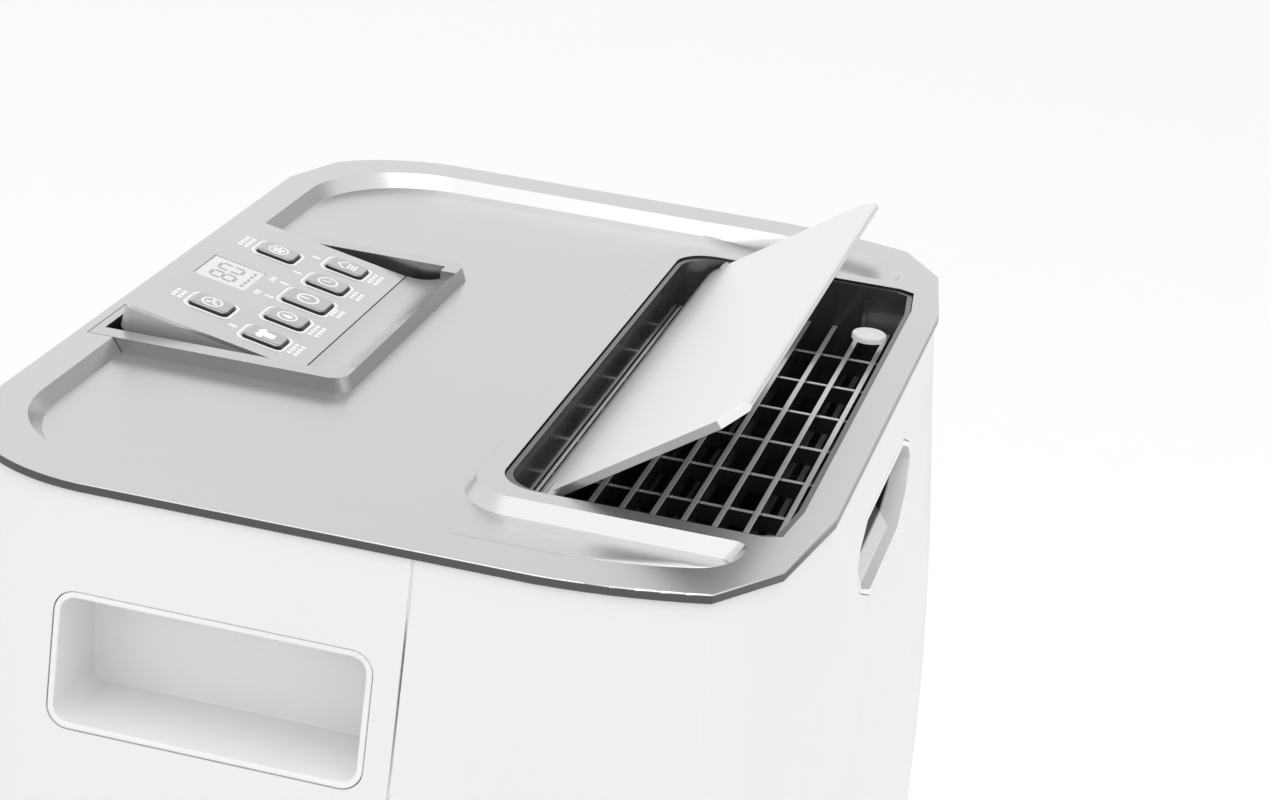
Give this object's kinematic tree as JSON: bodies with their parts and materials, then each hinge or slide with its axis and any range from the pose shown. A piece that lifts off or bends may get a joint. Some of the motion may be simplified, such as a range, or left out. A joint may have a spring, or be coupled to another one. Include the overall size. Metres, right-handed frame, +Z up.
{
  "type": "dehumidifier",
  "caption": "Free-standing compressor dehumidifier with a hinged outlet flap, tilting key panel, pull-out water tank and rear wheels.",
  "frame": {"origin": "on the floor under the middle of the body", "axes": "+Z up, -Y to the front, +X to the right of a person facing the front"},
  "size_m": [0.3884, 0.2944, 0.6258],
  "materials": {
    "white_housing": "smooth white moulded plastic with a soft gloss",
    "silver_cover": "satin silver paint over moulded plastic",
    "silver_bezel": "satin silver paint over moulded plastic",
    "well_charcoal": "dark charcoal plastic with a gloss",
    "grille_grey": "silver-grey plastic bars",
    "vane_black": "black plastic",
    "flap_pale": "pale silver smooth plastic",
    "cap_white": "white plastic",
    "overlay_grey": "grey glossy printed film",
    "display_lens": "pale clear window",
    "tray_grey": "grey plastic",
    "circuit_board": "green circuit board",
    "switch_black": "black switch bodies",
    "key_grey": "glossy grey domed caps",
    "grip_grey": "light grey fine textured plastic",
    "mesh_grey": "nylon mesh on a grey frame",
    "tank_frost": "frosted plastic",
    "lid_white": "white plastic",
    "float_blue": "blue foam float",
    "steel_plain": "plain steel",
    "zinc_screw": "zinc plated steel",
    "compressor_black": "black enamel",
    "coil_fins": "aluminium fins on copper tubes",
    "copper_pipe": "copper pipe",
    "rubber_black": "black rubber",
    "wheel_black": "black nylon wheel",
    "inner_plastic": "dark grey plastic",
    "foam_white": "white plastic",
    "capacitor_case": "aluminium can"
  },
  "bodies": {
    "machine": {"top_cover": "silver_cover", "outlet_well": "well_charcoal", "outlet_grille": "grille_grey", "guide_vanes": "vane_black", "ioniser_cap": "cap_white", "air_duct": "inner_plastic", "panel_bezel": "silver_bezel", "panel_pins": "steel_plain", "front_housing": "white_housing", "rear_housing": "white_housing", "front_grip": "white_housing", "left_grip": "grip_grey", "right_grip": "grip_grey", "housing_screws": "zinc_screw", "drain_spigot": "inner_plastic", "cord_gland": "rubber_black", "base_pan": "inner_plastic", "wheel_axle": "steel_plain", "front_feet": "rubber_black", "bulkhead": "foam_white", "tank_switch": "switch_black", "fan_scroll": "inner_plastic", "fan_motor": "steel_plain", "drip_tray": "foam_white", "compressor": "compressor_black", "compressor_mounts": "rubber_black", "refrigerant_pipes": "copper_pipe", "capacitor": "capacitor_case", "main_board": "circuit_board", "humidity_sensor": "circuit_board", "evaporator": "coil_fins", "condenser": "coil_fins"},
    "flap": {"outlet_flap": "flap_pale", "flap_pins": "steel_plain"},
    "control_panel": {"panel_overlay": "overlay_grey", "display_window": "display_lens", "panel_tray": "tray_grey", "control_pcb": "circuit_board", "key_switches": "switch_black"},
    "air_filter": {"filter_cover": "white_housing", "filter_mesh": "mesh_grey"},
    "tank": {"water_tank": "tank_frost", "tank_front": "white_housing", "tank_lid": "lid_white"},
    "tank_bail": {"tank_handle": "lid_white"},
    "float_arm": {"tank_float": "float_blue"},
    "fan": {"fan_impeller": "vane_black", "fan_shaft": "steel_plain"},
    "wheel_left": {"left_wheel": "wheel_black"},
    "wheel_right": {"right_wheel": "wheel_black"},
    "key_laundry_cap": {"key_laundry": "key_grey"},
    "key_humidity_cap": {"key_humidity": "key_grey"},
    "key_power_cap": {"key_power": "key_grey"},
    "key_timer_cap": {"key_timer": "key_grey"},
    "key_purifier_cap": {"key_purifier": "key_grey"},
    "key_speed_cap": {"key_speed": "key_grey"},
    "key_turbo_cap": {"key_turbo": "key_grey"}
  },
  "joints": [
    {"name": "flap_hinge", "type": "hinge", "parent": "machine", "child": "flap", "pos_m": [0, -0.0479, 0.5873], "axis": [-1, 0, 0], "range_deg": [-34, 56]},
    {"name": "panel_tilt", "type": "hinge", "parent": "machine", "child": "control_panel", "pos_m": [0, 0.062, 0.5812], "axis": [1, 0, 0], "range_deg": [-11, 0]},
    {"name": "tank_slide", "type": "slide", "parent": "machine", "child": "tank", "axis": [0, -1, 0], "range_m": [0, 0.16]},
    {"name": "tank_bail_hinge", "type": "hinge", "parent": "tank", "child": "tank_bail", "pos_m": [0, -0.08, 0.27], "axis": [-1, 0, 0], "range_deg": [0, 90]},
    {"name": "float_hinge", "type": "hinge", "parent": "tank", "child": "float_arm", "pos_m": [-0.07, -0.03, 0.24], "axis": [-1, 0, 0], "range_deg": [0, 14]},
    {"name": "filter_pull", "type": "slide", "parent": "machine", "child": "air_filter", "axis": [0, 1, 0], "range_m": [0, 0.05]},
    {"name": "fan_spin", "type": "hinge", "parent": "machine", "child": "fan", "pos_m": [0, -0.06, 0.41], "axis": [0, 1, 0], "continuous": true},
    {"name": "left_wheel_spin", "type": "hinge", "parent": "machine", "child": "wheel_left", "pos_m": [-0.149, 0.088, 0.028], "axis": [1, 0, 0], "continuous": true},
    {"name": "right_wheel_spin", "type": "hinge", "parent": "machine", "child": "wheel_right", "pos_m": [0.149, 0.088, 0.028], "axis": [1, 0, 0], "continuous": true},
    {"name": "key_laundry_press", "type": "slide", "parent": "control_panel", "child": "key_laundry_cap", "axis": [0, 0.1908, -0.9816], "range_m": [0, 0.001], "stiffness_N_per_m": 500},
    {"name": "key_humidity_press", "type": "slide", "parent": "control_panel", "child": "key_humidity_cap", "axis": [0, 0.1908, -0.9816], "range_m": [0, 0.001], "stiffness_N_per_m": 500},
    {"name": "key_power_press", "type": "slide", "parent": "control_panel", "child": "key_power_cap", "axis": [0, 0.1908, -0.9816], "range_m": [0, 0.001], "stiffness_N_per_m": 500},
    {"name": "key_timer_press", "type": "slide", "parent": "control_panel", "child": "key_timer_cap", "axis": [0, 0.1908, -0.9816], "range_m": [0, 0.001], "stiffness_N_per_m": 500},
    {"name": "key_purifier_press", "type": "slide", "parent": "control_panel", "child": "key_purifier_cap", "axis": [0, 0.1908, -0.9816], "range_m": [0, 0.001], "stiffness_N_per_m": 500},
    {"name": "key_speed_press", "type": "slide", "parent": "control_panel", "child": "key_speed_cap", "axis": [0, 0.1908, -0.9816], "range_m": [0, 0.001], "stiffness_N_per_m": 500},
    {"name": "key_turbo_press", "type": "slide", "parent": "control_panel", "child": "key_turbo_cap", "axis": [0, 0.1908, -0.9816], "range_m": [0, 0.001], "stiffness_N_per_m": 500}
  ]
}
